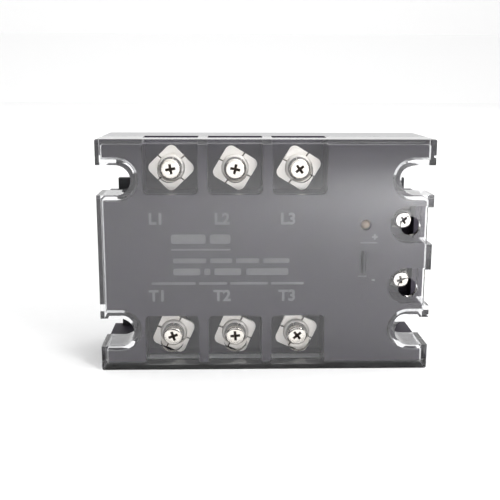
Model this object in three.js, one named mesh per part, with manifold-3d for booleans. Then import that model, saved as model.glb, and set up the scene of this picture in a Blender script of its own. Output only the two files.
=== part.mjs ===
// Three-phase solid state relay, panel-mount brick form.
// Millimetres. X runs along the relay, Z is up, and the front faces -Y.
// The origin is the centre of the rear mounting face.
// Sizes along Y are given as depths behind the flat front of the cover.

import * as THREE from "three";
import { mergeVertices } from "three/addons/utils/BufferGeometryUtils.js";
import Module from "manifold-3d";

// ---------------------------------------------------------------- driving dimensions

const length = 105;
const height = 74;
const totalDepth = 33;
const gap = 0.3;

const cover = { plate: 1.8, wall: 1.5, skirt: 13, corner: 1.2, wireSlotTop: 7 };

// U-shaped cut-outs at the four fixing points
const notch = { x: 46.5, z: 24.4, radius: 4.65, wall: 1.6, bodyRadius: 6.85 };

const base = { halfLength: 49.5, halfHeight: 35, thickness: 3, slotRadius: 2.8 };

const housing = { front: 2.5, rear: 32.6, roof: 2, cavityFloor: 21.5, wall: 3.5 };

// load terminals: three phases, a line row above and a load row below
const phaseNames = ["1", "2", "3"];
const firstPhaseX = -29.9;
const phasePitch = 20.3;
const terminalZ = 27.3;
const pocket = { width: 17.2, innerZ: 19.6, floor: 15.3, corner: 1.6 };

const loadScrew = {
  headTop: 4.8, headHeight: 2.5, headRadius: 3.15, shankRadius: 1.95, tip: 19.2,
};
const springWasher = { top: 7.5, thickness: 1, inner: 2.3, outer: 3.6, split: 0.8 };
const clamp = {
  side: 11.3, corner: 2, bossTop: 8.8, bossRadius: 4.5, plateTop: 10.6, thickness: 1.3, hole: 2.4,
};
const clampTurns = { L1: -46, L2: -31, L3: -31, T1: -24, T2: -23, T3: -24 };
const bar = {
  top: 13, thickness: 2, halfSide: 3.9, legHalfWidth: 3.4, legThickness: 1.1, hole: 2.3,
};

// control terminals at the right-hand end
const controlX = 45.4;
const controlZ = 10;
const controlPocket = { radius: 5.9, floor: 16.5, sillTop: 10.6, sillStart: 48.9 };
const controlScrew = {
  headTop: 10.8, headHeight: 2, headRadius: 2.75, shankRadius: 1.45, tip: 19.6,
};
const controlClamp = { side: 5.4, corner: 1.5, top: 13, thickness: 0.8, hole: 1.8 };
const controlBar = {
  top: 15, thickness: 1.2, halfSide: 2.8, legThickness: 0.8, legHalfWidth: 1.5, hole: 1.7,
};

const lamp = { x: 31.7, z: 10, radius: 1.5, top: 2.6, flange: 7 };

// driver holes in the cover
const driverHole = { load: 3.65, control: 3.05 };

// inside, from the front: board, potting, chips, tiles
const board = { top: 22.3, thickness: 1.6, left: -38, right: 44, halfHeight: 16.5 };
const potting = { top: 24.2, bottom: 27.8 };
const chip = { top: 28.1, thickness: 0.5, side: 9, z: 9 };
const tile = { top: 28.9, thickness: 0.8, width: 17, height: 51 };

// ---------------------------------------------------------------- geometry helpers

const wasm = await Module();
wasm.setup();

const phaseX = (i) => firstPhaseX + phasePitch * i;
const y = (depth) => depth - totalDepth;
const spread = (centre, half) => [centre - half, centre + half];

function toSolid(geometry) {
  const bare = geometry.clone();
  bare.deleteAttribute("normal");
  bare.deleteAttribute("uv");
  const merged = mergeVertices(bare, 1e-4);
  return new wasm.Manifold(new wasm.Mesh({
    numProp: 3,
    vertProperties: new Float32Array(merged.attributes.position.array),
    triVerts: new Uint32Array(merged.index.array),
  }));
}

function toGeometry(solid) {
  const mesh = solid.getMesh();
  const geometry = new THREE.BufferGeometry();
  geometry.setAttribute("position", new THREE.BufferAttribute(mesh.vertProperties, 3));
  geometry.setIndex(new THREE.BufferAttribute(mesh.triVerts, 1));
  geometry.computeVertexNormals();
  return geometry;
}

// a box between two x values, two depths and two z values
function block([x0, x1], [d0, d1], [z0, z1]) {
  const box = new THREE.BoxGeometry(x1 - x0, d1 - d0, z1 - z0);
  box.translate((x0 + x1) / 2, y((d0 + d1) / 2), (z0 + z1) / 2);
  return toSolid(box);
}

// a round bar along Y between two depths
function rod(x, z, radius, [d0, d1], sides = 24) {
  const cylinder = new THREE.CylinderGeometry(radius, radius, d1 - d0, sides);
  cylinder.translate(x, y((d0 + d1) / 2), z);
  return toSolid(cylinder);
}

// a flat shape drawn in x and z, with its thickness along the depth
function slab(shape, [d0, d1], arcSteps = 6) {
  const extruded = new THREE.ExtrudeGeometry(shape, {
    depth: d1 - d0, bevelEnabled: false, curveSegments: arcSteps,
  });
  extruded.rotateX(Math.PI / 2);
  extruded.translate(0, y(d1), 0);
  return toSolid(extruded);
}

function roundedRectangle([x0, x1], [z0, z1], r) {
  const shape = new THREE.Shape();
  shape.moveTo(x0 + r, z0);
  shape.lineTo(x1 - r, z0);
  shape.absarc(x1 - r, z0 + r, r, -Math.PI / 2, 0);
  shape.lineTo(x1, z1 - r);
  shape.absarc(x1 - r, z1 - r, r, 0, Math.PI / 2);
  shape.lineTo(x0 + r, z1);
  shape.absarc(x0 + r, z1 - r, r, Math.PI / 2, Math.PI);
  shape.lineTo(x0, z0 + r);
  shape.absarc(x0 + r, z0 + r, r, Math.PI, 1.5 * Math.PI);
  return shape;
}

const fullOutline = (d) => slab(
  roundedRectangle(spread(0, length / 2), spread(0, height / 2), cover.corner), d, 3,
);

const plainBlock = (halfLength, halfHeight, d) => (
  block(spread(0, halfLength), d, spread(0, halfHeight))
);

// U-shaped cutters at the four fixing points, open towards the two ends
function notchCutters(radius, d, sides = 24) {
  const cutters = [];
  for (const side of [-1, 1]) {
    for (const row of [-1, 1]) {
      const x = side * notch.x;
      const z = row * notch.z;
      const outer = side * length;
      const span = [Math.min(x, outer), Math.max(x, outer)];
      cutters.push(rod(x, z, radius, d, sides).add(block(span, d, spread(z, radius))));
    }
  }
  return cutters;
}

const cut = (solid, tools) => tools.reduce((rest, tool) => rest.subtract(tool), solid);
const join = (solid, tools) => tools.reduce((whole, tool) => whole.add(tool), solid);

// every load terminal: its name, its axis and which way is outwards
const loadTerminals = [];
for (const [letter, row] of [["L", 1], ["T", -1]]) {
  phaseNames.forEach((phase, i) => {
    loadTerminals.push({ name: letter + phase, x: phaseX(i), z: row * terminalZ, row });
  });
}

const controlTerminals = [
  { name: "plus", z: controlZ },
  { name: "minus", z: -controlZ },
];

// the z span between two distances from the middle, on a terminal's own side
const sideSpan = (row, inner, outer) => (
  row > 0 ? [inner, outer] : [-outer, -inner]
);

// the leg goes down from the edge of the pad that is nearer the middle
const legSpan = (t, clearance) => sideSpan(
  t.row,
  terminalZ - bar.halfSide - clearance,
  terminalZ - bar.halfSide + bar.legThickness + clearance,
);
const controlLeg = [
  controlX - controlBar.halfSide, controlX - controlBar.halfSide + controlBar.legThickness,
];

// ---------------------------------------------------------------- materials

const finish = (color, roughness, metalness) => new THREE.MeshStandardMaterial({
  color, roughness, metalness,
});

const blackPlastic = finish(0x1b1a1e, 0.3, 0);
const nickel = finish(0xd9d5cf, 0.3, 1);
const aluminium = finish(0xb9bcc0, 0.45, 1);
const resin = finish(0x2a2723, 0.5, 0);
const laminate = finish(0x1f5a36, 0.5, 0);
const ceramic = finish(0xece9e0, 0.6, 0);
const silicon = finish(0x4a4d55, 0.3, 0.5);
const filmPlastic = finish(0x9a3a2a, 0.4, 0);
const amber = finish(0x8a5a2a, 0.25, 0);
const clearPlastic = new THREE.MeshStandardMaterial({
  color: 0xe8ecef, roughness: 0.08, metalness: 0, transparent: true, opacity: 0.35,
});

const group = new THREE.Group();

function addPart(name, solid, material) {
  const mesh = new THREE.Mesh(toGeometry(solid), material);
  mesh.name = name;
  group.add(mesh);
}

// ---------------------------------------------------------------- base plate

function basePlate() {
  const depths = [totalDepth - base.thickness, totalDepth];
  const plate = plainBlock(base.halfLength, base.halfHeight, depths);
  return cut(plate, notchCutters(base.slotRadius, [depths[0] - 1, depths[1] + 1], 20));
}

// ---------------------------------------------------------------- clear cover

function clearCover() {
  const past = cover.skirt + 1;
  const innerX = length / 2 - cover.wall;
  const innerZ = height / 2 - cover.wall;
  const shell = cut(fullOutline([0, cover.skirt]), notchCutters(notch.radius, [-1, past]));
  const hollow = cut(
    plainBlock(innerX, innerZ, [cover.plate, past]),
    notchCutters(notch.radius + notch.wall, [0, past + 1]),
  );
  const driverHoles = loadTerminals.map((t) => rod(t.x, t.z, driverHole.load, [-1, 3]));
  const wireSlots = loadTerminals.map((t) => block(
    spread(t.x, pocket.width / 2),
    [cover.wireSlotTop, past],
    sideSpan(t.row, innerZ - 1, height / 2 + 1),
  ));
  const controlHoles = controlTerminals.map((t) => (
    rod(controlX, t.z, driverHole.control, [-1, 3])
  ));
  const endSlots = controlTerminals.map((t) => block(
    [length / 2 - cover.plate, length / 2 + 1],
    [-1, past],
    spread(t.z, controlPocket.radius),
  ));
  return cut(shell.subtract(hollow), [...driverHoles, ...wireSlots, ...controlHoles, ...endSlots]);
}

// ---------------------------------------------------------------- moulded housing

// the space at the back that holds the electronics, clear of the fixing notches
function cavity(clearance, d) {
  const space = plainBlock(
    length / 2 - housing.wall - cover.wall - clearance,
    height / 2 - housing.wall - clearance,
    d,
  );
  return cut(space, notchCutters(notch.bodyRadius + 1.1 + clearance, [d[0] - 1, d[1] + 1], 16));
}

function loadPocket(t) {
  const past = height;
  return slab(
    roundedRectangle(
      spread(t.x, pocket.width / 2),
      sideSpan(t.row, pocket.innerZ, past),
      pocket.corner,
    ),
    [housing.front - 1, pocket.floor],
    3,
  );
}

function controlPocketCutter(t) {
  const d = [housing.front - 1, controlPocket.floor];
  const run = block([controlX, length], d, spread(t.z, controlPocket.radius));
  return rod(controlX, t.z, controlPocket.radius, d).add(run);
}

// low wall at the open end of a control pocket, which the wire passes over
function controlSill(t) {
  const innerEnd = length / 2 - cover.wall - gap;
  const foot = controlPocket.floor + 0.5;
  const inner = block(
    [controlPocket.sillStart, innerEnd],
    [controlPocket.sillTop, foot],
    spread(t.z, controlPocket.radius + 0.2),
  );
  const outer = block(
    [innerEnd - 0.2, length / 2],
    [controlPocket.sillTop, foot],
    spread(t.z, controlPocket.radius - gap),
  );
  const root = block(
    [innerEnd - 0.2, length / 2],
    [cover.skirt + gap, foot],
    spread(t.z, controlPocket.radius + 0.2),
  );
  return inner.add(outer).add(root);
}

function mouldedHousing() {
  const step = cover.skirt + gap;
  const inset = cover.wall + gap;
  const upper = plainBlock(length / 2 - inset, height / 2 - inset, [housing.front, step + 1]);
  const lower = fullOutline([step, housing.rear]);
  const body = cut(upper.add(lower), notchCutters(notch.bodyRadius, [0, totalDepth + 1]));

  const rebateTop = totalDepth - base.thickness - gap;
  const rebate = plainBlock(
    base.halfLength + gap, base.halfHeight + gap, [rebateTop, totalDepth + 1],
  );
  const roofDepth = housing.front + housing.roof;
  const centreSpace = block(
    [board.left - 1, 36], [roofDepth, housing.cavityFloor + 1], spread(0, board.halfHeight + 0.6),
  );
  const legSlots = loadTerminals.map((t) => block(
    spread(t.x, bar.legHalfWidth + gap),
    [pocket.floor - 1, housing.cavityFloor + 1],
    legSpan(t, gap),
  ));
  const screwWells = loadTerminals.map((t) => (
    rod(t.x, t.z, bar.hole + 2 * gap, [pocket.floor - 1, housing.cavityFloor - 0.8], 16)
  ));
  const controlSlots = controlTerminals.map((t) => block(
    [controlLeg[0] - gap, controlLeg[1] + gap],
    [controlPocket.floor - 1, housing.cavityFloor + 1],
    spread(t.z, controlBar.legHalfWidth + gap),
  ));
  const controlWells = controlTerminals.map((t) => (
    rod(controlX, t.z, controlBar.hole + gap, [controlPocket.floor - 1, housing.cavityFloor - 0.8], 16)
  ));
  const hollowed = cut(body, [
    ...loadTerminals.map(loadPocket),
    ...controlTerminals.map(controlPocketCutter),
  ]);
  const lampHole = rod(lamp.x, lamp.z, lamp.radius + 0.2, [0, roofDepth + 1]);
  return cut(controlTerminals.reduce((all, t) => all.add(controlSill(t)), hollowed), [
    rebate,
    cavity(0, [housing.cavityFloor, rebateTop + 1]),
    centreSpace,
    ...legSlots,
    ...screwWells,
    ...controlSlots,
    ...controlWells,
    lampHole,
  ]);
}

// ---------------------------------------------------------------- load terminals

// pad with a tapped hole, and a leg down to the ceramic tile
function terminalBar(t) {
  const pad = block(
    spread(t.x, bar.halfSide), [bar.top, bar.top + bar.thickness], spread(t.z, bar.halfSide),
  );
  const leg = block(
    spread(t.x, bar.legHalfWidth), [bar.top + 0.5, tile.top - gap], legSpan(t, 0),
  );
  const hole = rod(t.x, t.z, bar.hole, [bar.top - 1, bar.top + bar.thickness + 1]);
  return pad.add(leg).subtract(hole);
}

// a cross-recess pan head with a chamfered rim, on a plain shank
function panScrew(x, z, size, turn, sides) {
  const head = rod(x, z, size.headRadius, [size.headTop + 0.8, size.headTop + size.headHeight], sides);
  const crown = new THREE.CylinderGeometry(size.headRadius, size.headRadius * 0.72, 0.8, sides);
  crown.translate(x, y(size.headTop + 0.4), z);
  const shank = rod(x, z, size.shankRadius, [size.headTop + 1, size.tip], 16);
  const arms = [0, 90].map((angle) => {
    const arm = new THREE.BoxGeometry(size.headRadius * 1.15, 2.4, size.headRadius * 0.3);
    arm.rotateY(THREE.MathUtils.degToRad(angle - turn));
    arm.translate(x, y(size.headTop), z);
    return toSolid(arm);
  });
  return cut(join(head, [toSolid(crown), shank]), arms);
}

const crossTurns = { L1: 10, L2: -12, L3: 38, T1: 20, T2: 5, T3: 40, plus: 30, minus: 15 };

// split ring under the screw's head
function splitWasher(t) {
  const d = [springWasher.top, springWasher.top + springWasher.thickness];
  const ring = rod(t.x, t.z, springWasher.outer, d)
    .subtract(rod(t.x, t.z, springWasher.inner, [d[0] - 1, d[1] + 1]));
  const half = springWasher.split / 2;
  return ring.subtract(block([t.x, t.x + 5], [d[0] - 1, d[1] + 1], spread(t.z, half)));
}

// square clamp plate with a raised round boss, turned about the screw
function clampPlate(t) {
  const turn = THREE.MathUtils.degToRad(clampTurns[t.name]);
  const square = new THREE.ExtrudeGeometry(
    roundedRectangle(spread(0, clamp.side / 2), spread(0, clamp.side / 2), clamp.corner),
    { depth: clamp.thickness, bevelEnabled: false, curveSegments: 4 },
  );
  square.rotateZ(turn);
  square.rotateX(Math.PI / 2);
  square.translate(t.x, y(clamp.plateTop + clamp.thickness), t.z);
  const boss = rod(t.x, t.z, clamp.bossRadius, [clamp.bossTop, clamp.plateTop + 0.5]);
  const hole = rod(t.x, t.z, clamp.hole, [clamp.bossTop - 1, clamp.plateTop + 3]);
  return toSolid(square).add(boss).subtract(hole);
}

// ---------------------------------------------------------------- control terminals

function controlTerminalBar(t) {
  const pad = block(
    spread(controlX, controlBar.halfSide),
    [controlBar.top, controlBar.top + controlBar.thickness],
    spread(t.z, controlBar.halfSide),
  );
  const leg = block(
    controlLeg,
    [controlBar.top + 0.4, board.top - gap],
    spread(t.z, controlBar.legHalfWidth),
  );
  const hole = rod(controlX, t.z, controlBar.hole, [controlBar.top - 1, controlBar.top + 3], 16);
  return pad.add(leg).subtract(hole);
}

function controlClampPlate(t) {
  const plate = slab(
    roundedRectangle(
      spread(controlX, controlClamp.side / 2), spread(t.z, controlClamp.side / 2), controlClamp.corner,
    ),
    [controlClamp.top, controlClamp.top + controlClamp.thickness],
    3,
  );
  return plate.subtract(rod(controlX, t.z, controlClamp.hole, [12, 15], 16));
}

// ---------------------------------------------------------------- electronics

// domed lamp with a flange and two leads down to the board
function indicatorLamp() {
  const dome = new THREE.SphereGeometry(lamp.radius, 16, 8);
  dome.translate(lamp.x, y(lamp.top + lamp.radius), lamp.z);
  const barrel = rod(lamp.x, lamp.z, lamp.radius, [lamp.top + lamp.radius, lamp.flange], 16);
  const flange = rod(lamp.x, lamp.z, lamp.radius + 0.4, [lamp.flange - 0.5, lamp.flange + 0.6], 16);
  const leads = [-1, 1].map((side) => block(
    spread(lamp.x + side * 0.9, 0.25), [lamp.flange, board.top - gap], spread(lamp.z, 0.25),
  ));
  return join(toSolid(dome), [barrel, flange, ...leads]);
}

const component = (x, z, halfX, halfZ, tall) => block(
  spread(x, halfX), [board.top - gap - tall, board.top - gap], spread(z, halfZ),
);

const leadAt = (t) => ({ x: t.x + chip.side / 4, z: t.row * chip.z });

function pottingBlock() {
  const d = [potting.top, potting.bottom];
  const past = [d[0] - 1, d[1] + 1];
  const legs = loadTerminals.map((t) => (
    block(spread(t.x, bar.legHalfWidth + gap), past, legSpan(t, gap))
  ));
  const leads = loadTerminals.map((t) => rod(leadAt(t).x, leadAt(t).z, 0.8, past, 8));
  return cut(cavity(gap, d), [...legs, ...leads]);
}

// ---------------------------------------------------------------- the assembly

addPart("base_plate", basePlate(), aluminium);
addPart("housing", mouldedHousing(), blackPlastic);
addPart("clear_cover", clearCover(), clearPlastic);
addPart("potting_compound", pottingBlock(), resin);
addPart(
  "circuit_board",
  block(
    [board.left, board.right],
    [board.top, board.top + board.thickness],
    spread(0, board.halfHeight),
  ),
  laminate,
);

for (const t of loadTerminals) {
  addPart(`terminal_bar_${t.name}`, terminalBar(t), nickel);
  addPart(`clamp_plate_${t.name}`, clampPlate(t), nickel);
  addPart(`spring_washer_${t.name}`, splitWasher(t), nickel);
  addPart(`terminal_screw_${t.name}`, panScrew(t.x, t.z, loadScrew, crossTurns[t.name], 24), nickel);
  addPart(
    `thyristor_chip_${t.name}`,
    block(
      spread(t.x, chip.side / 2),
      [chip.top, chip.top + chip.thickness],
      spread(t.row * chip.z, chip.side / 2),
    ),
    silicon,
  );
  const lead = leadAt(t);
  addPart(`gate_lead_${t.name}`, rod(lead.x, lead.z, 0.4, [potting.top, potting.bottom], 8), nickel);
}

phaseNames.forEach((phase, i) => {
  const x = phaseX(i);
  addPart(
    `ceramic_tile_${phase}`,
    block(
      spread(x, tile.width / 2), [tile.top, tile.top + tile.thickness], spread(0, tile.height / 2),
    ),
    ceramic,
  );
  addPart(`optocoupler_${phase}`, component(x, -7, 4.4, 3.2, 3.6), blackPlastic);
  addPart(`snubber_capacitor_${phase}`, component(x, 7, 6.5, 2.5, 11), filmPlastic);
});

for (const t of controlTerminals) {
  addPart(`control_terminal_${t.name}`, controlTerminalBar(t), nickel);
  addPart(`control_clamp_${t.name}`, controlClampPlate(t), nickel);
  addPart(
    `control_screw_${t.name}`,
    panScrew(controlX, t.z, controlScrew, crossTurns[t.name], 20),
    nickel,
  );
}

addPart("indicator_lamp", indicatorLamp(), amber);
addPart("input_driver_chip", component(26, -3, 2.5, 2, 1.6), blackPlastic);
addPart("input_resistor", component(26, -10, 3.2, 1.3, 1), ceramic);
addPart("reverse_polarity_diode", component(26, 3, 2.2, 1.3, 2.1), blackPlastic);

export default group;
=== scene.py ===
from math import atan2, cos, exp, hypot, pi, radians, sin, sqrt

import bmesh
import bpy
from mathutils import Matrix, Vector


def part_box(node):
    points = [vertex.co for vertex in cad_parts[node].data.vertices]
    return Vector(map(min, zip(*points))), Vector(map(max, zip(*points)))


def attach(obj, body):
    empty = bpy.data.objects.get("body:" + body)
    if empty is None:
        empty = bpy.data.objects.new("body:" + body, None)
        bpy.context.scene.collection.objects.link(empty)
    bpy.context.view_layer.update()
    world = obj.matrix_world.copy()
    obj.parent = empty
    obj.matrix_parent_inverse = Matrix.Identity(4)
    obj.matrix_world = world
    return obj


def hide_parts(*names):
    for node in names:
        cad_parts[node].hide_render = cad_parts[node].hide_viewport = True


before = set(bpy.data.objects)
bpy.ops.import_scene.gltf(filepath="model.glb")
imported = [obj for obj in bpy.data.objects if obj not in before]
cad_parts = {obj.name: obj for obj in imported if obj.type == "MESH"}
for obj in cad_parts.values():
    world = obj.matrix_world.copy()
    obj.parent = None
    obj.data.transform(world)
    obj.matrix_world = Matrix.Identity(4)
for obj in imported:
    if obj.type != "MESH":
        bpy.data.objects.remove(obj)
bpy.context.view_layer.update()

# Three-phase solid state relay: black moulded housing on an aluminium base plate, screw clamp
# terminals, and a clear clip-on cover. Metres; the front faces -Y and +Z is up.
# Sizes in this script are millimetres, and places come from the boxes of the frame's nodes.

MM = 0.001
LOAD_NAMES = ["L1", "L2", "L3", "T1", "T2", "T3"]
CONTROL_NAMES = ["plus", "minus"]
PHASES = ["1", "2", "3"]
SIDES = [-1, 1]


def span(node, axis):
    """The node's lowest and highest value along x, y or z, in millimetres."""
    low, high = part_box(node)
    i = "xyz".index(axis)
    return low[i] / MM, high[i] / MM


FRONT = span("clear_cover", "y")[0]


def depths(node):
    """How far a node starts and ends behind the cover's front, in millimetres."""
    near, far = span(node, "y")
    return near - FRONT, far - FRONT


def middle(node):
    """The x and z of a node's middle, in millimetres."""
    return sum(span(node, "x")) / 2, sum(span(node, "z")) / 2


def around(value, half):
    return value - half, value + half


# ---------------------------------------------------------------- camera, floor and light

FOCAL_LENGTH = 57.6
SENSOR = 36.0
CAMERA_DISTANCE = 251.9
CAMERA_SIDE = 5.0
CAMERA_RISE = -2.4


def aim_camera():
    """A camera about 25 cm away, looking slightly down on the front."""
    turn = (
        Matrix.Rotation(radians(0.2), 3, "Y")
        @ Matrix.Rotation(radians(12.03), 3, "X")
        @ Matrix.Rotation(radians(1.74), 3, "Z")
    )
    offset = Vector((CAMERA_SIDE, CAMERA_DISTANCE, CAMERA_RISE))
    place = -(turn.transposed() @ offset) + Vector((0, FRONT, 0))
    data = bpy.data.cameras.new("camera")
    data.lens = FOCAL_LENGTH
    data.sensor_width = SENSOR
    data.clip_start = 0.01
    camera = bpy.data.objects.new("camera", data)
    right, forward, up = turn.row[0], turn.row[1], turn.row[2]
    camera.matrix_world = Matrix.LocRotScale(
        place * MM, Matrix((right, up, -forward)).transposed(), None
    )
    bpy.context.scene.collection.objects.link(camera)
    bpy.context.scene.camera = camera


def deselect():
    bpy.ops.object.select_all(action="DESELECT")


def only(piece):
    deselect()
    piece.select_set(True)
    bpy.context.view_layer.objects.active = piece


def softbox(name, place, size, power, aim=(0, 0, 0)):
    """A square area light that faces the aim point."""
    data = bpy.data.lights.new(name, "AREA")
    data.shape = "SQUARE"
    data.size = size
    data.energy = power
    light = bpy.data.objects.new(name, data)
    facing = (Vector(aim) - Vector(place)).to_track_quat("-Z", "Y")
    light.matrix_world = Matrix.LocRotScale(Vector(place), facing, None)
    bpy.context.scene.collection.objects.link(light)


def light_studio():
    world = bpy.data.worlds.new("studio")
    world.use_nodes = True
    world.node_tree.nodes["Background"].inputs["Color"].default_value = (1, 1, 1, 1)
    world.node_tree.nodes["Background"].inputs["Strength"].default_value = 0.95
    bpy.context.scene.world = world
    softbox("overhead_softbox", (0.3, 0.1, 1.1), 1.2, 4)
    softbox("backdrop_softbox", (0, 0.9, 1.6), 2, 20, (0, 3.2, 0.3))
    softbox("right_softbox", (0.42, -0.42, 0.4), 0.3, 1.8, (0.18, -0.3, -0.04))
    softbox("low_softbox", (0.26, -0.40, 0.12), 0.12, 1.6, (0.12, -0.38, -0.04))
    bpy.context.scene.view_settings.view_transform = "Standard"


# ---------------------------------------------------------------- shader maths and materials


class Signal:
    """An output socket that arithmetic can be written on."""

    def __init__(self, recipe, socket):
        self.recipe = recipe
        self.socket = socket

    def __add__(self, other):
        return self.recipe.maths("ADD", self, other)

    def __radd__(self, other):
        return self.recipe.maths("ADD", other, self)

    def __mul__(self, other):
        return self.recipe.maths("MULTIPLY", self, other)

    def __lt__(self, other):
        return self.recipe.maths("LESS_THAN", self, other)


class Recipe:
    """The node tree of one material."""

    def __init__(self, name):
        self.material = bpy.data.materials.new(name)
        self.material.use_nodes = True
        self.tree = self.material.node_tree
        self.tree.nodes.clear()

    def node(self, kind, settings=None, inputs=None, out=0):
        """Adds a node, sets it up, feeds its sockets and gives one of its outputs."""
        made = self.tree.nodes.new(kind)
        for key, value in (settings or {}).items():
            setattr(made, key, value)
        for key, value in (inputs or {}).items():
            if isinstance(value, Signal):
                self.tree.links.new(value.socket, made.inputs[key])
            else:
                made.inputs[key].default_value = value
        return Signal(self, made.outputs[out]) if made.outputs else None

    def place(self, stretch=(1, 1, 1)):
        """Object coordinates, stretched along the axes."""
        where = self.node("ShaderNodeTexCoord", out="Object")
        return self.node("ShaderNodeMapping", {}, {"Vector": where, "Scale": stretch})

    def maths(self, operation, *values):
        """A Math node on its operation's values."""
        return self.node("ShaderNodeMath", {"operation": operation}, dict(enumerate(values)))

    def noise(self, scale, detail=3, roughness=0.5, stretch=(1, 1, 1)):
        return self.node(
            "ShaderNodeTexNoise",
            {},
            {
                "Vector": self.place(stretch),
                "Scale": scale,
                "Detail": detail,
                "Roughness": roughness,
            },
        )

    def mix(self, factor, first, second):
        """Between two colours by a factor from 0 to 1."""
        return self.node(
            "ShaderNodeMix",
            {"data_type": "RGBA"},
            {0: factor, 6: first, 7: second},
            out=2,
        )

    def bump(self, height, distance, strength=1.0):
        return self.node(
            "ShaderNodeBump", {}, {"Height": height, "Distance": distance, "Strength": strength}
        )

    def finish(self, **sockets):
        """Ends in a Principled shader, whose sockets are named with underscores."""
        inputs = {name.replace("_", " "): value for name, value in sockets.items()}
        shader = self.node("ShaderNodeBsdfPrincipled", {}, inputs)
        self.node("ShaderNodeOutputMaterial", {}, {"Surface": shader})
        return self.material


def grey(value):
    return value, value, value, 1


def moulded_plastic(name, dark, light, roughness):
    """Moulded plastic with a fine moulding grain and a little uneven gloss."""
    recipe = Recipe(name)
    cloud = recipe.noise(60, detail=4)
    grains = recipe.noise(4200, detail=2)
    return recipe.finish(
        Base_Color=recipe.mix(cloud, dark, light),
        Roughness=roughness + cloud * 0.08,
        Normal=recipe.bump(grains, 0.00001, 0.35),
        IOR=1.5,
    )


MATT_FROM = 1.5
MATT_FULLY = 5.0
GLOSSY_RIM = 2.2


def housing_plastic(name):
    """Black moulded plastic: polished on the outer faces, spark-textured in the pockets."""
    recipe = Recipe(name)
    cloud = recipe.noise(60, detail=4)
    grains = recipe.noise(1100, detail=3)
    where = recipe.node("ShaderNodeTexCoord", out="Object")
    depth = recipe.node("ShaderNodeSeparateXYZ", {}, {"Vector": where}, out="Y")
    matt = recipe.node(
        "ShaderNodeMapRange",
        {"interpolation_type": "SMOOTHSTEP"},
        {
            "Value": depth,
            "From Min": (FRONT + HOUSING_FRONT + MATT_FROM) * MM,
            "From Max": (FRONT + HOUSING_FRONT + MATT_FULLY) * MM,
        },
    )
    across = recipe.node("ShaderNodeSeparateXYZ", {}, {"Vector": where}, out="Z")
    height = recipe.maths("ABSOLUTE", across)
    inside = matt * (height < (HALF_HEIGHT - GLOSSY_RIM) * MM)
    return recipe.finish(
        Base_Color=recipe.mix(cloud, (0.013, 0.009, 0.020, 1), (0.020, 0.014, 0.029, 1)),
        Roughness=0.09 + cloud * 0.06 + inside * 0.5,
        Normal=recipe.bump(grains * inside, 0.00003, 0.4),
        IOR=1.5,
    )


def clear_moulding(name):
    """Clear polycarbonate, very slightly wavy, with faint handling haze."""
    recipe = Recipe(name)
    waves = recipe.noise(45, detail=1)
    haze = recipe.noise(320, detail=5, roughness=0.7)
    return recipe.finish(
        Base_Color=recipe.mix(haze, (0.99, 0.99, 1.0, 1), (0.975, 0.98, 0.99, 1)),
        Roughness=0.01 + haze * 0.02,
        Normal=recipe.bump(waves, 0.00002, 0.05),
        IOR=1.5,
        Transmission_Weight=1.0,
    )


def nickel_plate(name, warm, roughness, metallic):
    """Satin nickel on pressed steel, with press marks and slight yellowing in patches."""
    recipe = Recipe(name)
    patches = recipe.noise(260, detail=4)
    marks = recipe.noise(1400, detail=3, roughness=0.65)
    pale = (0.95, 0.93, 0.90, 1)
    tarnish = (0.88 - warm * 0.05, 0.835 - warm * 0.09, 0.77 - warm * 0.14, 1)
    return recipe.finish(
        Base_Color=recipe.mix(patches, pale, tarnish),
        Metallic=metallic,
        Roughness=roughness + patches * 0.12 + marks * 0.08,
        Normal=recipe.bump(marks + patches * 2.0, 0.00004, 0.5),
    )


def dark_spring_steel(name):
    """Oil-blacked steel of the washers and the control terminals, rubbed paler in places; on the
    washers its dark tone is also painted shade for the gap under the screw heads.
    """
    recipe = Recipe(name)
    rub = recipe.noise(900, detail=4)
    return recipe.finish(
        Base_Color=recipe.mix(rub, (0.10, 0.095, 0.09, 1), (0.26, 0.25, 0.24, 1)),
        Metallic=1.0,
        Roughness=0.3 + rub * 0.2,
        Normal=recipe.bump(rub, 0.00003, 0.4),
    )


def painted_shade_finish(name):
    """Painted shade: a dark finish that stands in for the shade inside a driver recess and along a
    pressed crease.
    """
    recipe = Recipe(name)
    shade_mottle = recipe.noise(1800, detail=3)
    return recipe.finish(
        Base_Color=recipe.mix(shade_mottle, (0.035, 0.022, 0.015, 1), (0.09, 0.065, 0.05, 1)),
        Metallic=0.4,
        Roughness=0.4 + shade_mottle * 0.2,
        Normal=recipe.bump(shade_mottle, 0.00003, 0.4),
    )


def painted_notch_shade(name):
    """Painted shade: a dark finish on the base plate's front and edges that stands in for the shade
    inside the fixing notches, with a slight random mottle.
    """
    recipe = Recipe(name)
    plate_mottle = recipe.noise(140, detail=5)
    return recipe.finish(
        Base_Color=recipe.mix(plate_mottle, (0.020, 0.020, 0.022, 1), (0.045, 0.045, 0.050, 1)),
        Metallic=0.5,
        Roughness=0.34 + plate_mottle * 0.2,
        Normal=recipe.bump(plate_mottle, 0.00002, 0.3),
    )


def milled_aluminium(name):
    """Aluminium with fine lines from milling along its length."""
    recipe = Recipe(name)
    lines = recipe.noise(500, detail=4, stretch=(0.04, 1, 3))
    cloud = recipe.noise(30, detail=3)
    return recipe.finish(
        Base_Color=recipe.mix(lines, (0.55, 0.56, 0.58, 1), (0.68, 0.69, 0.70, 1)),
        Metallic=1.0,
        Roughness=0.3 + lines * 0.16 + cloud * 0.06,
        Normal=recipe.bump(lines, 0.00002, 0.4),
    )


def printed_ink(name):
    """Thin pale grey pad print, a little worn."""
    recipe = Recipe(name)
    wear = recipe.noise(1500, detail=4)
    return recipe.finish(
        Base_Color=recipe.mix(wear, (0.12, 0.12, 0.125, 1), (0.20, 0.20, 0.205, 1)),
        Roughness=0.45 + wear * 0.15,
        Normal=recipe.bump(wear, 0.00001, 0.3),
    )


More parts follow.
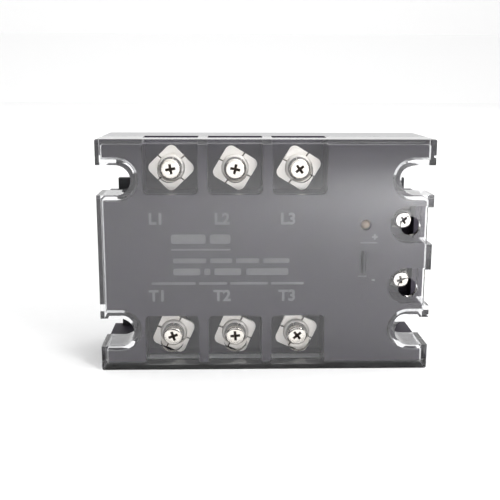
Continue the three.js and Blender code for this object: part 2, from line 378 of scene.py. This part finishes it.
def cast_resin(name):
    """Black potting resin, swirled by pouring."""
    recipe = Recipe(name)
    swirl = recipe.noise(90, detail=5)
    return recipe.finish(
        Base_Color=recipe.mix(swirl, (0.02, 0.018, 0.015, 1), (0.045, 0.04, 0.035, 1)),
        Roughness=0.35 + swirl * 0.2,
        Normal=recipe.bump(swirl, 0.0002, 0.4),
    )


def board_laminate(name):
    """Green solder mask over a woven glass laminate."""
    recipe = Recipe(name)
    warp = recipe.node(
        "ShaderNodeTexWave",
        {"wave_type": "BANDS", "bands_direction": "X"},
        {"Vector": recipe.place(), "Scale": 420, "Distortion": 0.5},
    )
    weft = recipe.node(
        "ShaderNodeTexWave",
        {"wave_type": "BANDS", "bands_direction": "Z"},
        {"Vector": recipe.place(), "Scale": 420, "Distortion": 0.5},
    )
    weave = (warp + weft) * 0.5
    return recipe.finish(
        Base_Color=recipe.mix(weave, (0.010, 0.085, 0.035, 1), (0.018, 0.13, 0.055, 1)),
        Roughness=0.3 + weave * 0.15,
        Normal=recipe.bump(weave, 0.00003, 0.4),
    )


def alumina(name):
    """Fired white ceramic."""
    recipe = Recipe(name)
    speckle = recipe.noise(900, detail=5)
    return recipe.finish(
        Base_Color=recipe.mix(speckle, (0.78, 0.76, 0.70, 1), (0.90, 0.89, 0.85, 1)),
        Roughness=0.5 + speckle * 0.2,
        Normal=recipe.bump(speckle, 0.00003, 0.4),
    )


def silicon_die(name):
    """Silicon with a fine metallised pattern."""
    recipe = Recipe(name)
    cells = recipe.node(
        "ShaderNodeTexVoronoi", {}, {"Vector": recipe.place(), "Scale": 900}, out="Distance"
    )
    return recipe.finish(
        Base_Color=recipe.mix(cells, (0.10, 0.10, 0.13, 1), (0.22, 0.21, 0.25, 1)),
        Metallic=0.6,
        Roughness=0.2 + cells * 0.15,
        Normal=recipe.bump(cells, 0.00001, 0.3),
    )


def lamp_resin(name):
    """Amber tinted resin of the unlit lamp."""
    recipe = Recipe(name)
    swirl = recipe.noise(400, detail=2)
    return recipe.finish(
        Base_Color=recipe.mix(swirl, (0.20, 0.13, 0.07, 1), (0.36, 0.24, 0.15, 1)),
        Roughness=0.12 + swirl * 0.08,
        Normal=recipe.bump(swirl, 0.00002, 0.2),
        IOR=1.55,
        Coat_Weight=0.5,
    )


def studio_paper(name):
    recipe = Recipe(name)
    fibres = recipe.noise(300, detail=4)
    return recipe.finish(
        Base_Color=recipe.mix(fibres, grey(0.86), grey(0.89)),
        Roughness=0.8,
        Normal=recipe.bump(fibres, 0.00005, 0.1),
    )


# ---------------------------------------------------------------- modelling helpers


def centred(x, d, z):
    """The middle of a block given by spans in x, depth and z, in metres."""
    return Vector(((x[0] + x[1]) / 2, FRONT + (d[0] + d[1]) / 2, (z[0] + z[1]) / 2)) * MM


def apply_place(piece):
    only(piece)
    bpy.ops.object.transform_apply(location=True, rotation=True, scale=True)


def block(name, x, d, z):
    """A block between two x values, two depths and two z values."""
    deselect()
    bpy.ops.mesh.primitive_cube_add(size=1, location=centred(x, d, z))
    piece = bpy.context.object
    piece.name = name
    piece.scale = [(high - low) * MM for low, high in (x, d, z)]
    apply_place(piece)
    return piece


def rod(name, x, z, radius, d, sides=48):
    """A round bar along the depth; the end nearer the front is its top."""
    deselect()
    bpy.ops.mesh.primitive_cylinder_add(
        vertices=sides,
        radius=radius * MM,
        depth=(d[1] - d[0]) * MM,
        location=centred((x, x), d, (z, z)),
        rotation=(pi / 2, 0, 0),
    )
    piece = bpy.context.object
    piece.name = name
    apply_place(piece)
    return piece


def select_edges(piece, wanted):
    """Goes into edit mode with the edges for which wanted(middle, run) holds, in millimetres."""
    only(piece)
    bpy.ops.object.mode_set(mode="EDIT")
    bpy.ops.mesh.select_mode(type="EDGE")
    bpy.ops.mesh.select_all(action="DESELECT")
    mesh = bmesh.from_edit_mesh(piece.data)
    for edge in mesh.edges:
        start, end = (v.co / MM for v in edge.verts)
        edge.select = wanted((start + end) / 2, end - start)
    bmesh.update_edit_mesh(piece.data)


def round_edges(piece, wanted, radius, segments):
    select_edges(piece, wanted)
    bpy.ops.mesh.bevel(offset=radius * MM, segments=segments, affect="EDGES")
    bpy.ops.object.mode_set(mode="OBJECT")


def runs_deep(run):
    """True for an edge that runs straight towards the back."""
    return abs(run.y) > 0.99 * run.length


def rounded_block(name, x, d, z, radius, segments=6):
    """A block whose four edges along the depth are rounded."""
    piece = block(name, x, d, z)
    round_edges(piece, lambda at, run: runs_deep(run), radius, segments)
    return piece


def apply_modifier(piece, kind, **settings):
    only(piece)
    modifier = piece.modifiers.new(kind.lower(), kind)
    for key, value in settings.items():
        setattr(modifier, key, value)
    bpy.ops.object.modifier_apply(modifier=modifier.name)


def combine(piece, tools, operation="DIFFERENCE"):
    """Cuts the tools out of a piece, or joins them to it, and removes them."""
    for tool in tools:
        apply_modifier(piece, "BOOLEAN", object=tool, operation=operation, solver="EXACT")
        bpy.data.objects.remove(tool)
    return piece


def soften(piece, width, segments=2, angle=32):
    """Breaks the sharp edges and shades the rest smooth."""
    only(piece)
    bpy.ops.object.mode_set(mode="EDIT")
    bpy.ops.mesh.select_all(action="SELECT")
    bpy.ops.mesh.remove_doubles(threshold=0.002 * MM)
    bpy.ops.mesh.dissolve_limited(angle_limit=radians(0.5))
    bpy.ops.object.mode_set(mode="OBJECT")
    apply_modifier(
        piece,
        "BEVEL",
        width=width * MM,
        segments=segments,
        limit_method="ANGLE",
        angle_limit=radians(angle),
    )
    smooth(piece)
    apply_modifier(piece, "WEIGHTED_NORMAL", weight=100, keep_sharp=True)
    return piece


def smooth(piece, angle=40):
    only(piece)
    bpy.ops.object.shade_smooth_by_angle(angle=radians(angle))


def settle(piece, body, material, slot, *nodes):
    """Gives a finished piece its finish and its body, and hides the nodes that it stands for."""
    if material:
        piece.data.materials.append(material)
    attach(piece, body)
    if nodes:
        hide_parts(*nodes)


def copy_to(template, name, x, z, turn=0):
    """A copy with its own mesh, turned about the depth axis and carried to x and z."""
    piece = template.copy()
    piece.data = template.data.copy()
    piece.name = name
    bpy.context.scene.collection.objects.link(piece)
    piece.data.transform(
        Matrix.Translation((x * MM, 0, z * MM)) @ Matrix.Rotation(radians(turn), 4, (0, -1, 0))
    )
    return piece


def lay_floor(material):
    """A pale sweep: the floor the relay stands on, curving up far behind it."""
    deselect()
    bpy.ops.mesh.primitive_plane_add(size=6, location=(0, 0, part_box("housing")[0][2]))
    floor = bpy.context.object
    floor.name = "studio_floor"
    apply_place(floor)
    select_edges(floor, lambda at, run: at.y > 2900)
    bpy.ops.mesh.extrude_region_move(TRANSFORM_OT_translate={"value": (0, 0.6, 0.3)})
    bpy.ops.mesh.extrude_region_move(TRANSFORM_OT_translate={"value": (0, 0.2, 3)})
    bpy.ops.object.mode_set(mode="OBJECT")
    floor.data.materials.append(material)


# ---------------------------------------------------------------- shared sizes

HALF_LENGTH = span("clear_cover", "x")[1]
HALF_HEIGHT = span("clear_cover", "z")[1]
SKIRT = depths("clear_cover")[1]
HOUSING_FRONT, HOUSING_REAR = depths("housing")
PLATE_FRONT, PLATE_REAR = depths("base_plate")
GAP = 0.3
COVER_PLATE = 1.8
COVER_WALL = 1.5
CORNER = 0.6
WIRE_SLOT_TOP = 7.0
NOTCH_X = 46.5
NOTCH_Z = 24.4
NOTCH_RADIUS = 4.65
NOTCH_WALL = 1.6
BODY_NOTCH = 6.85
SLOT_RADIUS = 2.8
POCKET_HALF_WIDTH = 8.6
POCKET_INNER = 19.6
POCKET_FLOOR = 15.3
POCKET_CORNER = 1.6
CONTROL_RADIUS = 5.9
CONTROL_FLOOR = 16.5
SILL_TOP = 10.6
SILL_START = 48.9
CAVITY_FLOOR = 21.5
CAVITY_END_WALL = 5.0
CAVITY_SIDE_WALL = 3.5
NOTCH_INNER_WALL = 1.1
CENTRE_ROOM_END = 36.0
LOAD_WELL = 2.9
CONTROL_WELL = 2.0
WELL_WEB = 0.8
LAMP_HOLE = 1.7
LAMP_HOLE_DEPTH = 4.0
LOAD_HOLE = 3.65
CONTROL_HOLE = 3.05
PAST = 2.0


def bullet(name, x, z, radius, d, outer):
    """A long cutter with one round end at x, running out to the outer value."""
    spread = (x - radius, outer) if outer > x else (outer, x + radius)
    piece = block(name, spread, d, around(z, radius))
    inward = -1 if outer > x else 1

    def at_round_end(at, run):
        return runs_deep(run) and (at.x - x) * inward > 0

    round_edges(piece, at_round_end, radius * 0.999, 14)
    return piece


def notch_tools(radius, d):
    """Cutters for the four fixing notches."""
    return [
        bullet("notch_tool", side * NOTCH_X, row * NOTCH_Z, radius, d, side * (HALF_LENGTH + 9))
        for side in SIDES
        for row in SIDES
    ]


def load_places():
    """Name, x, z and outward direction of each load terminal."""
    for name in LOAD_NAMES:
        x, z = middle(f"terminal_screw_{name}")
        yield name, x, z, (1 if z > 0 else -1)


def control_places():
    for name in CONTROL_NAMES:
        x, z = middle(f"control_screw_{name}")
        yield name, x, z


def outward(row, near, far):
    """A z span between two distances from the middle, above or below it."""
    return (near, far) if row > 0 else (-far, -near)


# ---------------------------------------------------------------- clear cover


def make_cover(material):
    shell = rounded_block(
        "clear_cover_shell",
        around(0, HALF_LENGTH),
        (0, SKIRT),
        around(0, HALF_HEIGHT),
        CORNER,
    )
    past_skirt = SKIRT + PAST
    combine(shell, notch_tools(NOTCH_RADIUS, (-PAST, past_skirt)))
    hollow = rounded_block(
        "hollow_tool",
        around(0, HALF_LENGTH - COVER_WALL),
        (COVER_PLATE, past_skirt),
        around(0, HALF_HEIGHT - COVER_WALL),
        0.6,
        4,
    )
    combine(hollow, notch_tools(NOTCH_RADIUS + NOTCH_WALL, (0, past_skirt + PAST)))
    combine(shell, [hollow])
    for _, x, z, row in load_places():
        hole = rod("hole_tool", x, z, LOAD_HOLE, (-PAST, COVER_PLATE + PAST))
        slot = block(
            "slot_tool",
            around(x, POCKET_HALF_WIDTH),
            (WIRE_SLOT_TOP, past_skirt),
            outward(row, HALF_HEIGHT - COVER_WALL - 1, HALF_HEIGHT + PAST),
        )
        combine(shell, [hole, slot])
    for _, x, z in control_places():
        hole = rod("hole_tool", x, z, CONTROL_HOLE, (-PAST, COVER_PLATE + PAST))
        slot = block(
            "slot_tool",
            (HALF_LENGTH - COVER_PLATE, HALF_LENGTH + PAST),
            (-PAST, past_skirt),
            around(z, CONTROL_RADIUS),
        )
        combine(shell, [hole, slot])
    soften(shell, 0.28, segments=3)
    settle(shell, "cover", material, "clear_plastic", "clear_cover")


# ---------------------------------------------------------------- housing and base plate


def inner_space(d):
    """The room for the electronics behind the terminals, clear of the notches."""
    room = block(
        "room_tool",
        around(0, HALF_LENGTH - CAVITY_END_WALL),
        d,
        around(0, HALF_HEIGHT - CAVITY_SIDE_WALL),
    )
    return combine(room, notch_tools(BODY_NOTCH + NOTCH_INNER_WALL, (d[0] - 1, d[1] + 1)))


def make_sill(z, inner_end):
    """The low wall at the open end of a control pocket, which the wire passes over."""
    foot = CONTROL_FLOOR + 0.5
    outer_end = (inner_end - 0.2, HALF_LENGTH)
    return [
        block("sill", (SILL_START, inner_end), (SILL_TOP, foot), around(z, CONTROL_RADIUS + 0.2)),
        block("sill", outer_end, (SILL_TOP, foot), around(z, CONTROL_RADIUS - GAP)),
        block("sill", outer_end, (SKIRT + GAP, foot), around(z, CONTROL_RADIUS + 0.2)),
    ]


def make_housing(material):
    step = SKIRT + GAP
    inset = COVER_WALL + GAP
    moulding = rounded_block(
        "housing_moulding",
        around(0, HALF_LENGTH - inset),
        (HOUSING_FRONT, step + 1),
        around(0, HALF_HEIGHT - inset),
        0.5,
        3,
    )
    lower = rounded_block(
        "lower_body", around(0, HALF_LENGTH), (step, HOUSING_REAR), around(0, HALF_HEIGHT), CORNER
    )
    combine(moulding, [lower], "UNION")
    combine(moulding, notch_tools(BODY_NOTCH, (0, HOUSING_REAR + PAST)))

    plate_half_length = span("base_plate", "x")[1] + GAP
    plate_half_height = span("base_plate", "z")[1] + GAP
    rebate = block(
        "rebate_tool",
        around(0, plate_half_length),
        (PLATE_FRONT - GAP, HOUSING_REAR + PAST),
        around(0, plate_half_height),
    )
    room = inner_space((CAVITY_FLOOR, PLATE_FRONT))
    board_x = span("circuit_board", "x")
    centre_room = block(
        "centre_tool",
        (board_x[0] - 1, CENTRE_ROOM_END),
        (HOUSING_FRONT + 2, CAVITY_FLOOR + 1),
        around(0, span("circuit_board", "z")[1] + 0.6),
    )
    combine(moulding, [rebate, room, centre_room])

    well_end = CAVITY_FLOOR - WELL_WEB
    for _, x, z, row in load_places():
        pocket = rounded_block(
            "pocket_tool",
            around(x, POCKET_HALF_WIDTH),
            (HOUSING_FRONT - PAST, POCKET_FLOOR),
            outward(row, POCKET_INNER, HALF_HEIGHT + 9),
            POCKET_CORNER,
            7,
        )
        well = rod("well_tool", x, z, LOAD_WELL, (POCKET_FLOOR - 1, well_end), 32)
        combine(moulding, [pocket, well])
    for _, x, z in control_places():
        d = (HOUSING_FRONT - PAST, CONTROL_FLOOR)
        pocket = bullet("pocket_tool", x, z, CONTROL_RADIUS, d, HALF_LENGTH + 9)
        combine(moulding, [pocket])
        combine(moulding, make_sill(z, HALF_LENGTH - inset), "UNION")
        well = rod("well_tool", x, z, CONTROL_WELL, (CONTROL_FLOOR - 1, well_end), 32)
        combine(moulding, [well])
    x, z = middle("indicator_lamp")
    combine(moulding, [rod("lamp_tool", x, z, LAMP_HOLE, (0, HOUSING_FRONT + LAMP_HOLE_DEPTH), 32)])
    soften(moulding, 0.25)
    settle(moulding, "relay", material, "black_plastic", "housing")


def make_base_plate(notch_shade_finish, bare_metal):
    x = span("base_plate", "x")
    z = span("base_plate", "z")
    plate = rounded_block("mounting_plate", x, (PLATE_FRONT, PLATE_REAR), z, 0.8, 4)
    combine(plate, notch_tools(SLOT_RADIUS, (PLATE_FRONT - PAST, PLATE_REAR + PAST)))
    soften(plate, 0.3)
    plate.data.materials.append(notch_shade_finish)
    plate.data.materials.append(bare_metal)
    # Painted shade: the rear face shows the milled aluminium, while the front and edges get the
    # dark finish for the shade inside the notches.
    for face in plate.data.polygons:
        face.material_index = 1 if face.normal.y > 0.99 else 0
    settle(plate, "relay", None, "aluminium_plate", "base_plate")


# ---------------------------------------------------------------- screws, washers and clamps


def cut_thread(shank, radius, pitch, depth):
    """Moves the shank's rings in and out along a right-hand helix."""
    near = min(v.co.y for v in shank.data.vertices)
    far = max(v.co.y for v in shank.data.vertices)
    for vertex in shank.data.vertices:
        x, y, z = vertex.co
        if hypot(x, z) < radius * MM * 0.5:
            continue
        turn = atan2(z, x) / (2 * pi)
        phase = ((y - near) / (pitch * MM) + turn) % 1
        taper = min(1, (far - y) / (pitch * MM))
        groove = depth * abs(2 * phase - 1)
        reach = (radius - groove - (1 - taper) * 0.3) * MM
        vertex.co.x = x * reach / hypot(x, z)
        vertex.co.z = z * reach / hypot(x, z)


def make_screw(name, node, metal, recess, radius, head_height, shank_radius, pitch):
    """A pan-head cross-recess screw on the axis x = z = 0, at the node's depth."""
    top, tip = depths(node)
    under = top + head_height
    head = rod(name, 0, 0, radius, (top, under), 64)

    def top_rim(at, run):
        return abs(at.y - FRONT - top) < 0.01

    def lower_rim(at, run):
        return abs(at.y - FRONT - under) < 0.01

    round_edges(head, top_rim, radius * 0.2, 6)
    round_edges(head, lower_rim, 0.15, 2)
    wings = []
    for turn in (0, 90):
        wing = block(
            "wing_tool", around(0, radius * 0.62), (top - 1, top + 1.7), around(0, radius * 0.155)
        )
        for vertex in wing.data.vertices:
            if vertex.co.y > (FRONT + top) * MM:
                vertex.co.x *= 0.5
                vertex.co.z *= 0.65
        wing.data.transform(Matrix.Rotation(radians(turn), 4, "Y"))
        wings.append(wing)
    combine(head, wings)
    soften(head, 0.05, segments=2, angle=40)
    head.data.materials.append(metal)
    head.data.materials.append(recess)
    # Painted shade: the faces of the cross recess get the dark finish.
    for face in head.data.polygons:
        x, y, z = face.center / MM
        in_cross = hypot(x, z) < radius * 0.64 and top + 0.04 < y - FRONT < under - 0.1
        face.material_index = 1 if in_cross else 0

    shank = rod("shank", 0, 0, shank_radius, (under - 0.2, tip), 28)
    rings = int((tip - under) / pitch * 5)
    select_edges(shank, lambda at, run: runs_deep(run))
    bpy.ops.mesh.subdivide(number_cuts=rings)
    bpy.ops.object.mode_set(mode="OBJECT")
    cut_thread(shank, shank_radius, pitch, shank_radius * 0.2)
    smooth(shank, 35)
    shank.data.materials.append(metal)
    deselect()
    shank.select_set(True)
    head.select_set(True)
    bpy.context.view_layer.objects.active = head
    bpy.ops.object.join()
    return head


WASHER_OUTER = 3.6
WASHER_INNER = 2.3
SPLIT_HALF_WIDTH = 0.3
SPLIT_SLANT = 0.8


def make_split_washer(name, node):
    """A spring washer with its slanted split."""
    d = depths(node)
    through = (d[0] - 1, d[1] + 1)
    ring = rod(name, 0, 0, WASHER_OUTER, d, 64)
    hole = rod("hole_tool", 0, 0, WASHER_INNER, through, 64)
    split = block("split_tool", (1, 5), through, around(0, SPLIT_HALF_WIDTH))
    for vertex in split.data.vertices:
        if vertex.co.y > (FRONT + d[0]) * MM:
            vertex.co.z += SPLIT_SLANT * MM
    combine(ring, [hole, split])
    return soften(ring, 0.12)


def square_reach(angle, half, corner):
    """How far a rounded square reaches from its middle in a direction."""
    u, v = abs(cos(angle)), abs(sin(angle))
    flat = half - corner
    if v * half <= u * flat:
        return half / u
    if u * half <= v * flat:
        return half / v
    along = flat * (u + v)
    return along + sqrt(along * along - 2 * flat * flat + corner * corner)


CLAMP_SHEET = 1.0
# How far round from a crease the painted crease shade reaches, as the sine of twice the angle.
CREASE_SINE = 0.08


def make_clamp(name, node, metal, crease_shade, side, corner, hole, boss, lift):
    """A pressed square clamp: two opposite corners stand forward of the other two."""
    near, far = depths(node)
    most = far - CLAMP_SHEET - near
    sectors, rings = 144, 18
    deselect()
    bpy.ops.mesh.primitive_circle_add(
        vertices=sectors,
        radius=hole * MM,
        location=(0, (FRONT + far) * MM, 0),
        rotation=(pi / 2, 0, 0),
    )
    plate = bpy.context.object
    plate.name = name
    apply_place(plate)
    bpy.ops.object.mode_set(mode="EDIT")
    bpy.ops.mesh.select_all(action="SELECT")
    for _ in range(rings):
        bpy.ops.mesh.extrude_edges_move()
    bpy.ops.object.mode_set(mode="OBJECT")
    for index, vertex in enumerate(plate.data.vertices):
        ring = index // sectors
        angle = atan2(vertex.co.z, vertex.co.x)
        reach = square_reach(angle, side / 2, corner)
        share = ring / rings
        radius = hole + (reach - hole) * share
        vertex.co.x = radius * cos(angle) * MM
        vertex.co.z = radius * sin(angle) * MM
        height = pressed_height(angle, radius, reach, boss, lift, most)
        vertex.co.y = (FRONT + far - CLAMP_SHEET - height) * MM
    apply_modifier(plate, "SOLIDIFY", thickness=CLAMP_SHEET * MM, offset=0)
    only(plate)
    bpy.ops.object.mode_set(mode="EDIT")
    bpy.ops.mesh.select_all(action="SELECT")
    bpy.ops.mesh.normals_make_consistent(inside=False)
    bpy.ops.object.mode_set(mode="OBJECT")
    apply_modifier(
        plate, "BEVEL", width=0.14 * MM, segments=2, limit_method="ANGLE", angle_limit=radians(50)
    )
    smooth(plate, 50)
    plate.data.materials.append(metal)
    # Painted shade: faces along the creases, where a high quarter meets a low one, get the dark
    # finish.
    plate.data.materials.append(crease_shade)    # for the lines where a high quarter meets a low one
    for face in plate.data.polygons:
        at = face.center / MM
        angle = atan2(at.z, at.x)
        creased = 0 < sin(2 * angle) < CREASE_SINE and hypot(at.x, at.z) > boss + 0.3
        face.material_index = 1 if creased and face.normal.y < -0.5 else 0
    return plate


def ease(value, low, high):
    """0 below low and 1 above high, with a smooth step between."""
    share = min(1, max(0, (value - low) / (high - low)))
    return share * share * (3 - 2 * share)


def pressed_height(angle, radius, reach, boss, lift, most):
    """How far the pressed sheet stands forward: two high corners, two low ones and a boss."""
    high = ease(sin(2 * angle), -0.07, 0.07)
    share = radius / reach
    lobe = lift - 0.12 * share ** 4
    flat = 0.55 + 0.05 * cos(radius * 2.2)
    crease = 0.22 * exp(-((sin(2 * angle) / 0.09) ** 2))
    corner = high * lobe + (1 - high) * flat - (crease if lift else 0)
    collar = most * 0.7
    outside = ease(radius, boss - 0.15, boss + 0.35)
    return min(most - 0.05, collar + outside * (corner - collar))


# ---------------------------------------------------------------- terminals


LOAD_SCREW = {"radius": 3.15, "head_height": 2.5, "shank_radius": 1.95, "pitch": 0.7}
CONTROL_SCREW = {"radius": 2.75, "head_height": 2.0, "shank_radius": 1.45, "pitch": 0.5}
LOAD_CLAMP = {"side": 11.3, "corner": 2.0, "hole": 2.4, "boss": 3.85, "lift": 0.95}
CONTROL_CLAMP = {"side": 5.4, "corner": 1.5, "hole": 1.8, "boss": 9.0, "lift": 0.0}
CROSS_TURNS = {"L1": 10, "L2": -12, "L3": 38, "T1": 20, "T2": 5, "T3": 40, "plus": 30, "minus": 15}
CLAMP_TURNS = {"L1": -46, "L2": -31, "L3": -31, "T1": -24, "T2": -23, "T3": -24}


def make_load_terminals(screw_metal, clamp_metal, washer_steel_and_shade, recess):
    first = LOAD_NAMES[0]
    screw = make_screw(
        "screw_template", f"terminal_screw_{first}", screw_metal, recess, **LOAD_SCREW
    )
    washer = make_split_washer("washer_template", f"spring_washer_{first}")
    clamp = make_clamp(
        "clamp_template", f"clamp_plate_{first}", clamp_metal, recess, **LOAD_CLAMP
    )
    for name, x, z, _ in load_places():
        settle(
            copy_to(screw, f"load_screw_{name}", x, z, CROSS_TURNS[name]),
            f"screw_{name}", None, "nickel_plate", f"terminal_screw_{name}",
        )
        # The washers' dark steel also stands in for the shade in the gap under the screw heads:
        # painted shade.
        settle(
            copy_to(washer, f"lock_washer_{name}", x, z, 60 + CROSS_TURNS[name]),
            f"washer_{name}", washer_steel_and_shade, "nickel_plate", f"spring_washer_{name}",
        )
        settle(
            copy_to(clamp, f"wire_clamp_{name}", x, z, CLAMP_TURNS[name]),
            f"clamp_{name}", None, "nickel_plate", f"clamp_plate_{name}",
        )
    for template in (screw, washer, clamp):
        bpy.data.objects.remove(template)


def make_control_terminals(screw_metal, clamp_metal, recess):
    first = CONTROL_NAMES[0]
    screw = make_screw(
        "screw_template", f"control_screw_{first}", screw_metal, recess, **CONTROL_SCREW
    )
    clamp = make_clamp(
        "clamp_template", f"control_clamp_{first}", clamp_metal, recess, **CONTROL_CLAMP
    )
    for name, x, z in control_places():
        settle(
            copy_to(screw, f"input_screw_{name}", x, z, CROSS_TURNS[name]),
            f"small_screw_{name}", None, "nickel_plate", f"control_screw_{name}",
        )
        settle(
            copy_to(clamp, f"input_clamp_{name}", x, z),
            f"small_clamp_{name}", None, "nickel_plate", f"control_clamp_{name}",
        )
    for template in (screw, clamp):
        bpy.data.objects.remove(template)


# ---------------------------------------------------------------- printing

INK_THICKNESS = 0.03
LOAD_MARK = 5.0
CONTROL_MARK = 3.4


def print_text(name, words, x, z, size, material):
    """Lettering printed on the housing's front, centred on x and z."""
    deselect()
    bpy.ops.object.text_add(location=(0, 0, 0))
    text = bpy.context.object
    text.name = name
    text.data.body = words
    text.data.size = size * MM
    text.data.align_x = "CENTER"
    text.data.align_y = "CENTER"
    text.data.extrude = INK_THICKNESS / 2 * MM
    text.data.offset = 0.035 * size * MM
    text.data.resolution_u = 6
    bpy.ops.object.convert(target="MESH")
    text = bpy.context.object
    text.rotation_euler = (pi / 2, 0, 0)
    apply_place(text)
    text.data.transform(
        Matrix.Translation((x * MM, (FRONT + HOUSING_FRONT - INK_THICKNESS / 2) * MM, z * MM))
    )
    settle(text, "relay", material, "black_plastic")


def print_bars(name, rows, material):
    """Plain printed rules: each row is z, height, start x and a list of (length, space) runs."""
    bars = []
    d = (HOUSING_FRONT - INK_THICKNESS, HOUSING_FRONT)
    for z, height, x, runs in rows:
        for length, space in runs:
            rise = around(z, height / 2)
            bars.append(rounded_block(name, (x, x + length), d, rise, height * 0.3, 3))
            x += length + space
    deselect()
    for bar in bars:
        bar.select_set(True)
    bpy.context.view_layer.objects.active = bars[0]
    bpy.ops.object.join()
    bars[0].name = name
    settle(bars[0], "relay", material, "black_plastic")


def print_front(ink):
    for phase, x in zip(PHASES, (-34.4, -13.8, 7.0)):
        print_text(f"mark_L{phase}", f"L{phase}", x, 11.9, LOAD_MARK, ink)
        print_text(f"mark_T{phase}", f"T{phase}", x, -13.0, LOAD_MARK, ink)
    print_bars("printed_rules", [
        (5.6, 3.0, -29.9, [(11.0, 1.2), (6.6, 0)]),
        (2.2, 0.5, -29.9, [(18.8, 0)]),
        (-1.4, 1.5, -29.3, [(10.5, 1.2), (7.0, 1.2), (7.4, 1.2), (8.4, 0)]),
        (-5.0, 2.2, -29.3, [(8.6, 1.2), (2.0, 1.2), (8.6, 1.6), (13.4, 0)]),
        (-8.8, 0.8, -36.2, [(14.0, 1.0), (9.0, 1.0), (12.0, 1.0), (10.5, 0)]),
    ], ink)
    print_text("mark_plus", "+", 34.6, 6.0, CONTROL_MARK, ink)
    print_text("mark_minus", "-", 34.6, -7.6, CONTROL_MARK, ink)
    print_bars("input_rules", [
        (4.3, 0.35, 30.0, [(5.4, 0)]),
        (-2.0, 7.6, 30.4, [(0.9, 0.5), (0.35, 0)]),
        (-6.6, 0.35, 29.6, [(2.8, 0)]),
    ], ink)


# ---------------------------------------------------------------- the relay

aim_camera()
light_studio()

black_plastic = housing_plastic("black_plastic")
clear_plastic = clear_moulding("clear_plastic")
satin_nickel = nickel_plate("satin_nickel", 0.2, 0.36, 0.6)
warm_nickel = nickel_plate("warm_nickel", 0.6, 0.16, 0.95)
dull_tin = nickel_plate("dull_tin", 0.9, 0.4, 1.0)
spring_steel = dark_spring_steel("spring_steel")
# Painted shade: a dark finish for the screw recesses and the clamp creases.
painted_recess_shade = painted_shade_finish("painted_recess_shade")
# Painted shade: a dark finish for the base plate's faces seen inside the notches.
notch_shade_black = painted_notch_shade("notch_shade_black")
aluminium = milled_aluminium("milled_aluminium")
ink = printed_ink("printed_ink")
component_black = moulded_plastic("component_black", grey(0.012), grey(0.025), 0.4)
capacitor_red = moulded_plastic(
    "capacitor_red", (0.28, 0.04, 0.02, 1), (0.38, 0.06, 0.03, 1), 0.25
)

lay_floor(studio_paper("studio_paper"))
make_cover(clear_plastic)
make_housing(black_plastic)
make_base_plate(notch_shade_black, aluminium)
make_load_terminals(warm_nickel, satin_nickel, spring_steel, painted_recess_shade)
make_control_terminals(warm_nickel, spring_steel, painted_recess_shade)
print_front(ink)


def dress_node(node, material):
    """A node that keeps its own shape gets its finish."""
    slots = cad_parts[node].data.materials
    slots.clear()
    slots.append(material)


INNER_FINISHES = {
    "potting_compound": cast_resin("potting_resin"),
    "circuit_board": board_laminate("circuit_laminate"),
    "indicator_lamp": lamp_resin("lamp_resin"),
    "input_driver_chip": component_black,
    "reverse_polarity_diode": component_black,
    "input_resistor": alumina("alumina"),
}
die = silicon_die("silicon_die")
tile = alumina("alumina_tile")
for name in LOAD_NAMES:
    INNER_FINISHES[f"thyristor_chip_{name}"] = die
    INNER_FINISHES[f"gate_lead_{name}"] = dull_tin
    INNER_FINISHES[f"terminal_bar_{name}"] = dull_tin
for phase in PHASES:
    INNER_FINISHES[f"ceramic_tile_{phase}"] = tile
    INNER_FINISHES[f"optocoupler_{phase}"] = component_black
    INNER_FINISHES[f"snubber_capacitor_{phase}"] = capacitor_red
for name in CONTROL_NAMES:
    INNER_FINISHES[f"control_terminal_{name}"] = spring_steel
for node, material in INNER_FINISHES.items():
    dress_node(node, material)
